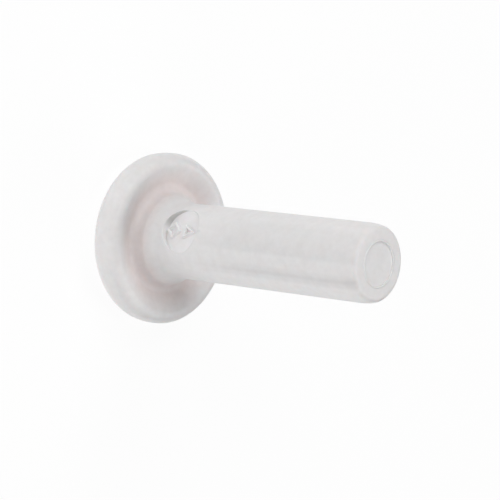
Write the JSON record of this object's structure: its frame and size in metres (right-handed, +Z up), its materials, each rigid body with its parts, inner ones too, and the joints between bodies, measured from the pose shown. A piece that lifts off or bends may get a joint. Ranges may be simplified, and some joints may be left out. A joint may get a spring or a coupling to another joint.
{
  "type": "headed blanking plug",
  "caption": "Moulded plastic blanking plug: round head with a thick rounded rim and dished underside, flared hub, plain straight shank and closed rounded tip.",
  "frame": {"origin": "centre of the head's outer face, the face it stands on", "axes": "+Z up the shank's centre line from the head to the tip; -Y towards the marking pocket in the shank's side"},
  "size_m": [0.0216, 0.0216, 0.0378],
  "materials": {
    "moulding": "natural milky plastic, soft satin gloss, slightly translucent"
  },
  "bodies": {
    "root": {"plug": "moulding"}
  },
  "joints": []
}
